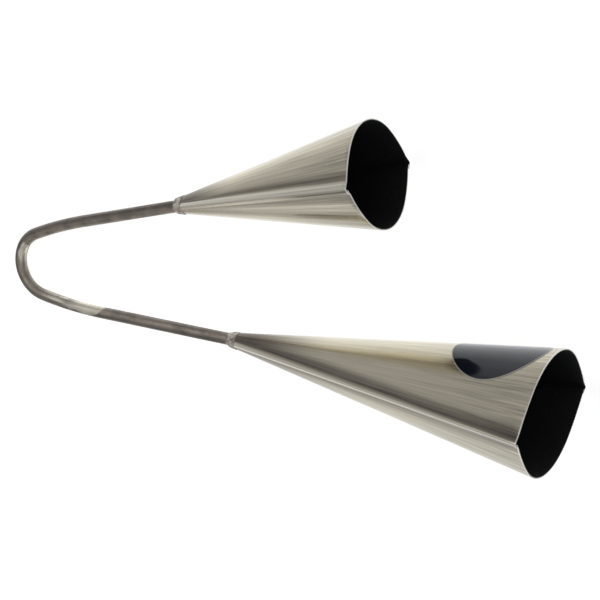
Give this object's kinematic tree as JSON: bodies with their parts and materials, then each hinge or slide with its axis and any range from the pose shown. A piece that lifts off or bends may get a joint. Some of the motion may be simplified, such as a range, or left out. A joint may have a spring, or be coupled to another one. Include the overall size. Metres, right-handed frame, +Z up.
{
  "type": "agogo bell",
  "caption": "Double hand bell: a small and a large lens-mouthed sheet-steel bell, each of lapped pressed halves, welded to the ends of a bent rod handle",
  "frame": {"origin": "middle of the bounding box in X and Y, on the surface that the instrument lies on", "axes": "+Z up; +X from the handle's bend towards the bell mouths; +Y from the large bell towards the small bell. The instrument lies on its side, on the bend and on one seam corner of each mouth, so the handle's plane rises about 7.7 degrees towards +X."},
  "size_m": [0.3944, 0.2162, 0.1114],
  "materials": {
    "bell_steel": "warm grey sheet steel, brushed along the bell and slightly antiqued, black inside",
    "rod_steel": "dark satin steel with pale worn patches",
    "weld_metal": "rough blended weld bead",
    "label_film": "plain glossy black film, no mark on it"
  },
  "bodies": {
    "root": {"handle_rod": "rod_steel", "small_bell_lipped_shell": "bell_steel", "small_bell_plain_shell": "bell_steel", "small_neck_weld": "weld_metal", "large_bell_lipped_shell": "bell_steel", "large_bell_plain_shell": "bell_steel", "large_neck_weld": "weld_metal", "oval_label": "label_film"}
  },
  "joints": []
}
